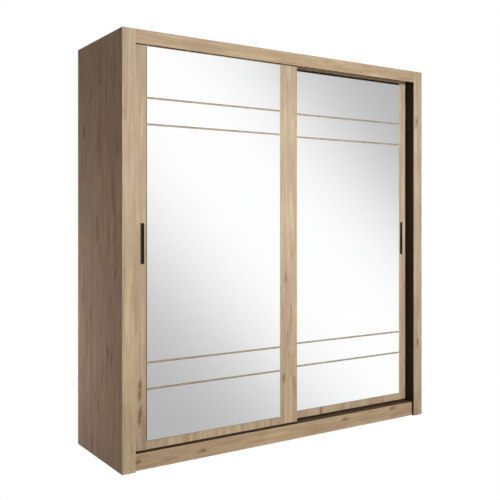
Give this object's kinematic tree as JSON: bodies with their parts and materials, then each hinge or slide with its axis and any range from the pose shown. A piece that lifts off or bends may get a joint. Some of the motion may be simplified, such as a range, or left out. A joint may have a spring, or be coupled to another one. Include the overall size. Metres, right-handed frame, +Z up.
{
  "type": "sliding door wardrobe",
  "caption": "Free-standing oak-grain wardrobe with two banded-mirror doors that roll past each other on a double track; shelves and hanging rails inside.",
  "frame": {"origin": "on the floor, at the middle of the wardrobe's width and depth", "axes": "+X along the front to the right door, -Y out of the front, +Z up"},
  "size_m": [2.03, 0.6, 2.155],
  "materials": {
    "oak_board": "matt oak-grain laminate on particle board",
    "dark_board": "matt dark-brown laminate",
    "hardboard": "thin hardboard, lacquered light inside",
    "chrome": "polished chrome plate",
    "zinc_steel": "zinc-plated steel",
    "brown_track": "satin dark-brown coated aluminium",
    "rubber": "matt",
    "nylon": "natural nylon",
    "beech": "raw fluted beech",
    "handle_brown": "satin dark brown",
    "black_plastic": "moulded, lightly textured",
    "mirror_glass": "silvered float glass with ground edges"
  },
  "bodies": {
    "carcass": {"side_panel_left": "oak_board", "side_panel_right": "oak_board", "front_post_left": "oak_board", "front_post_right": "oak_board", "top_fascia": "oak_board", "top_panel": "oak_board", "bottom_panel": "oak_board", "plinth_front": "oak_board", "plinth_back": "oak_board", "plinth_middle": "oak_board", "centre_partition": "oak_board", "top_shelf_left": "oak_board", "top_shelf_right": "oak_board", "low_shelf_upper": "oak_board", "low_shelf_middle": "oak_board", "low_shelf_lower": "oak_board", "cheek_left": "dark_board", "cheek_right": "dark_board", "back_sheet_left": "hardboard", "back_sheet_right": "hardboard", "hanging_rail_left": "chrome", "hanging_rail_right": "chrome", "rail_sockets": "chrome", "shelf_pins": "zinc_steel", "wall_brackets": "zinc_steel", "cam_locks": "zinc_steel", "cam_bolts": "zinc_steel", "small_screws": "zinc_steel", "back_nails": "zinc_steel", "top_track": "brown_track", "bottom_track": "brown_track", "door_buffers": "rubber", "foot_glides": "nylon", "dowels": "beech"},
    "left_door": {"left_door_panel": "oak_board", "left_handle_screws": "zinc_steel", "left_axles": "zinc_steel", "left_door_screws": "zinc_steel", "left_handle": "handle_brown", "left_roller_housings": "black_plastic", "left_top_guides": "black_plastic", "left_mirror_top": "mirror_glass", "left_mirror_bands": "mirror_glass", "left_mirror_main": "mirror_glass", "left_mirror_bottom": "mirror_glass"},
    "left_outer_wheel": {"left_wheel_outer": "black_plastic"},
    "left_inner_wheel": {"left_wheel_inner": "black_plastic"},
    "right_door": {"right_door_panel": "oak_board", "right_handle_screws": "zinc_steel", "right_axles": "zinc_steel", "right_door_screws": "zinc_steel", "right_handle": "handle_brown", "right_roller_housings": "black_plastic", "right_top_guides": "black_plastic", "right_mirror_top": "mirror_glass", "right_mirror_bands": "mirror_glass", "right_mirror_main": "mirror_glass", "right_mirror_bottom": "mirror_glass"},
    "right_outer_wheel": {"right_wheel_outer": "black_plastic"},
    "right_inner_wheel": {"right_wheel_inner": "black_plastic"}
  },
  "joints": [
    {"name": "left_door_slide", "type": "slide", "parent": "carcass", "child": "left_door", "axis": [1, 0, 0], "range_m": [0, 0.8906]},
    {"name": "left_outer_wheel_turn", "type": "hinge", "parent": "left_door", "child": "left_outer_wheel", "pos_m": [-0.8466, -0.26, 0.1043], "axis": [0, 1, 0], "continuous": true},
    {"name": "left_inner_wheel_turn", "type": "hinge", "parent": "left_door", "child": "left_inner_wheel", "pos_m": [-0.044, -0.26, 0.1043], "axis": [0, 1, 0], "continuous": true},
    {"name": "right_door_slide", "type": "slide", "parent": "carcass", "child": "right_door", "axis": [1, 0, 0], "range_m": [-0.8906, 0]},
    {"name": "right_outer_wheel_turn", "type": "hinge", "parent": "right_door", "child": "right_outer_wheel", "pos_m": [0.8466, -0.212, 0.1043], "axis": [0, 1, 0], "continuous": true},
    {"name": "right_inner_wheel_turn", "type": "hinge", "parent": "right_door", "child": "right_inner_wheel", "pos_m": [0.044, -0.212, 0.1043], "axis": [0, 1, 0], "continuous": true}
  ],
  "couplings": [
    {"joint": "left_outer_wheel_turn", "follows": "left_door_slide", "rad_per_m": 66.667},
    {"joint": "left_inner_wheel_turn", "follows": "left_door_slide", "rad_per_m": 66.667},
    {"joint": "right_outer_wheel_turn", "follows": "right_door_slide", "rad_per_m": 66.667},
    {"joint": "right_inner_wheel_turn", "follows": "right_door_slide", "rad_per_m": 66.667}
  ]
}
